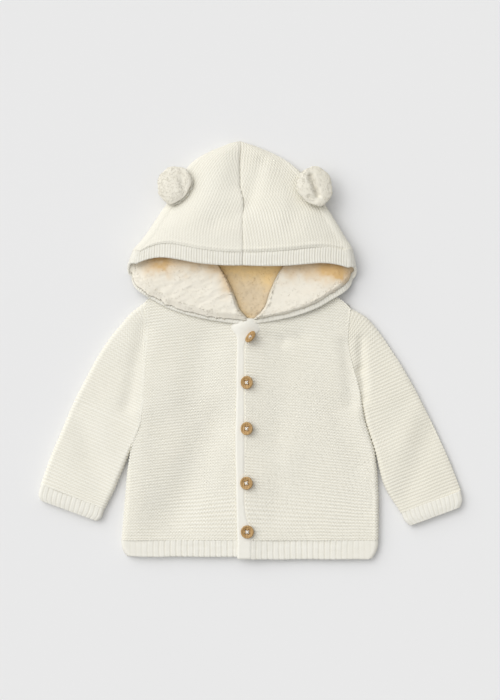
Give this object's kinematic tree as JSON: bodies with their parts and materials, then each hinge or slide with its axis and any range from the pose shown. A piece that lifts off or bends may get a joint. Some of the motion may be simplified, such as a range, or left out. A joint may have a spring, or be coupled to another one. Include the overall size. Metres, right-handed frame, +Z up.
{
  "type": "baby cardigan",
  "caption": "Hooded knitted baby cardigan laid flat and buttoned, with ribbed hem, cuffs and hood edge, a plush-lined hood, two small round ears and wooden buttons.",
  "frame": {"origin": "on the table under the middle of the laid-out garment's outline", "axes": "+X to the right across the garment seen from above, +Y from the hem towards the hood's crown, +Z up from the table"},
  "size_m": [0.4762, 0.4681, 0.0321],
  "materials": {
    "knit": "off-white cotton yarn in garter stitch, matt",
    "rib": "off-white cotton yarn in rib, matt",
    "plush": "cream curly plush pile, matt",
    "button_wood": "light brown turned wood, satin",
    "thread": "off-white sewing thread"
  },
  "bodies": {
    "root": {"back_panel": "knit", "front_left": "knit", "front_right": "knit", "sleeve_left": "knit", "sleeve_right": "knit", "cuff_left": "rib", "cuff_right": "rib", "hem_back": "rib", "hem_left": "rib", "hem_right": "rib", "button_band_under": "rib", "button_band": "rib", "hood_left": "knit", "hood_right": "knit", "hood_rib_left": "rib", "hood_rib_right": "rib", "lining_left": "plush", "lining_right": "plush", "lining_back": "plush", "ear_back_left": "knit", "ear_front_left": "plush", "ear_back_right": "knit", "ear_front_right": "plush", "button_1": "button_wood", "button_2": "button_wood", "button_3": "button_wood", "button_4": "button_wood", "button_5": "button_wood"}
  },
  "joints": []
}
